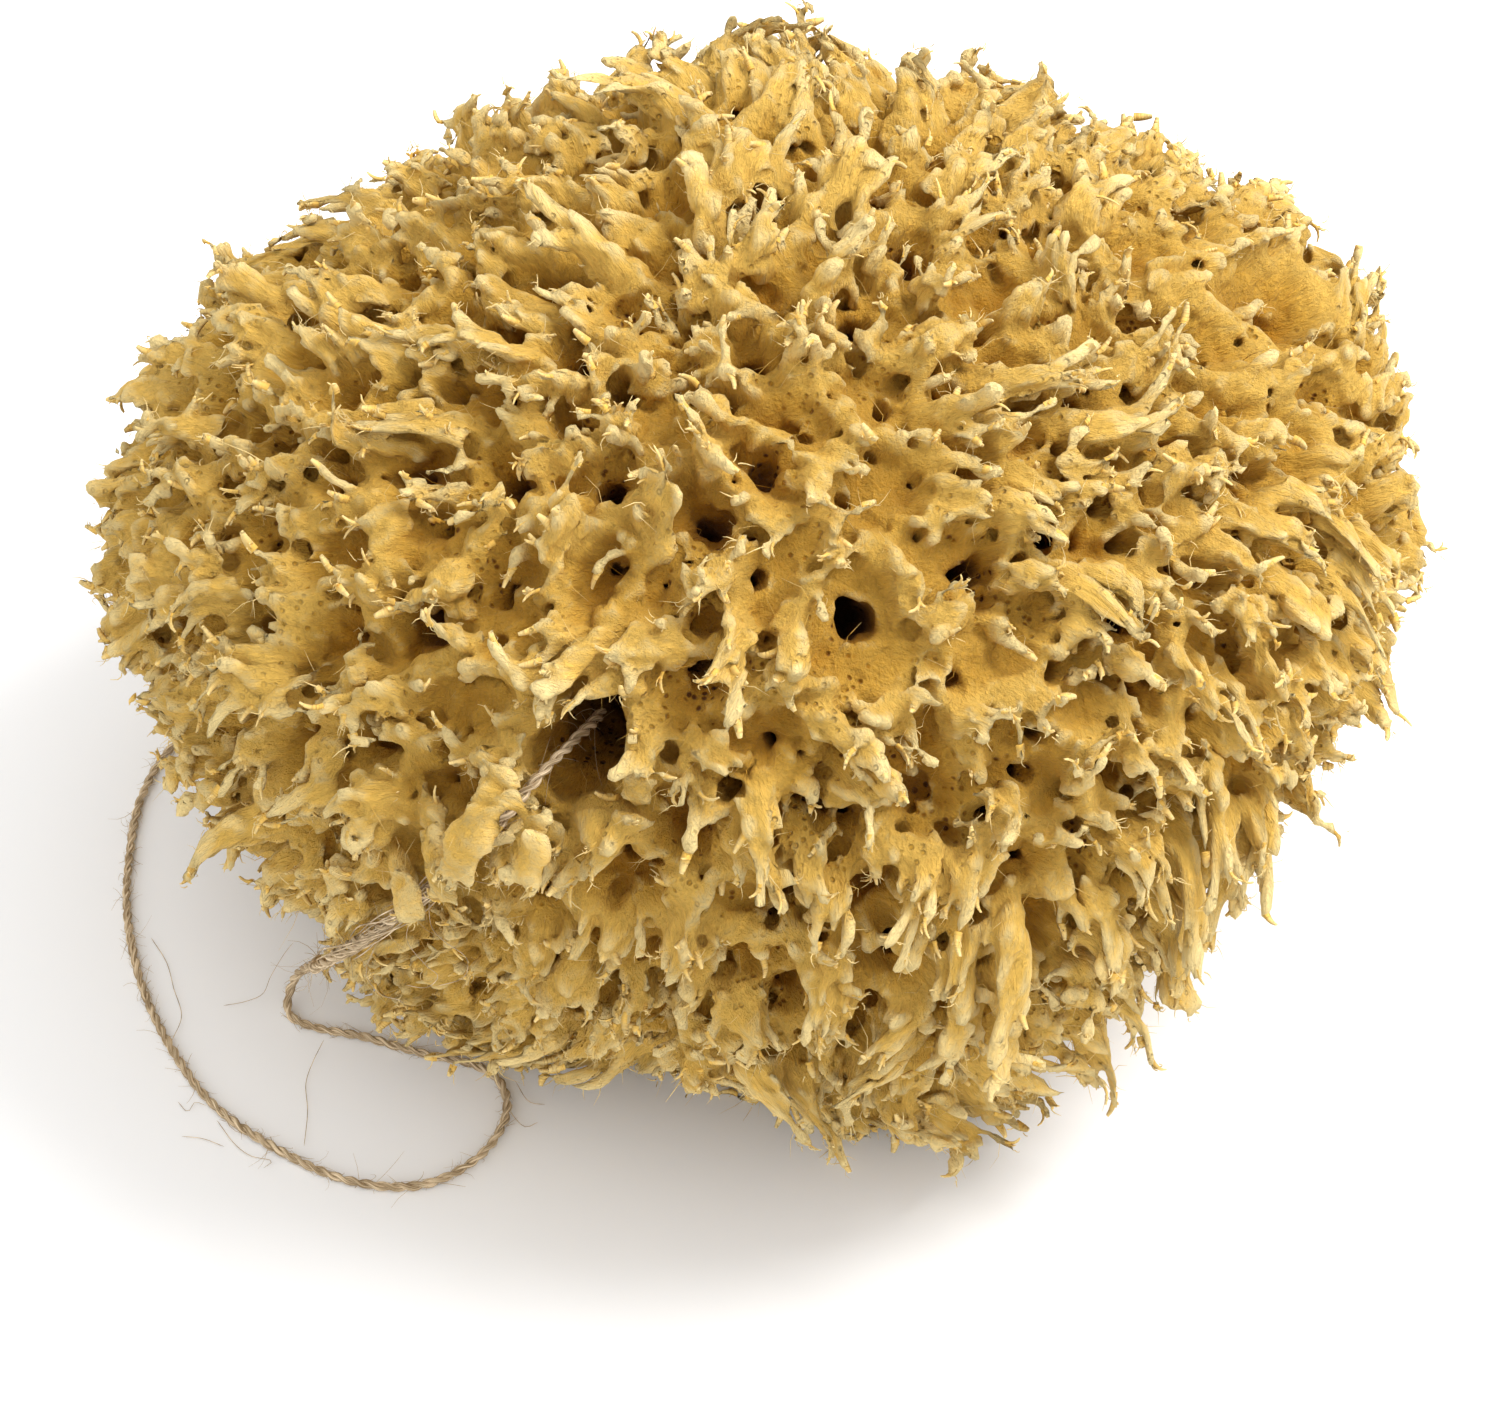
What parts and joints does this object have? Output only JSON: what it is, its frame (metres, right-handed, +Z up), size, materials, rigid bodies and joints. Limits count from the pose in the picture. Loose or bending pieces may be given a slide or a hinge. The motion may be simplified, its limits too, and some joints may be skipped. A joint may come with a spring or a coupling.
{
  "type": "sea sponge",
  "caption": "Dried natural wool sponge, a rounded dome of pitted walls and pointed tufts with a flat trimmed base, threaded with a loose loop of jute twine.",
  "frame": {"origin": "on the surface that the sponge stands on, under the middle of the sponge's box", "axes": "+Z up, out of the trimmed base; +X to the right along the longest side; -Y towards the front, where the twine comes out"},
  "size_m": [0.2248, 0.1886, 0.1419],
  "materials": {
    "dried_sponge_fibre": "matte felted spongin fibre, golden ochre, paler at the tips and browner in the pits",
    "jute": "matte two-ply twisted plant fibre, greyish tan, hairy"
  },
  "bodies": {
    "root": {"sponge": "dried_sponge_fibre", "twine": "jute"}
  },
  "joints": []
}
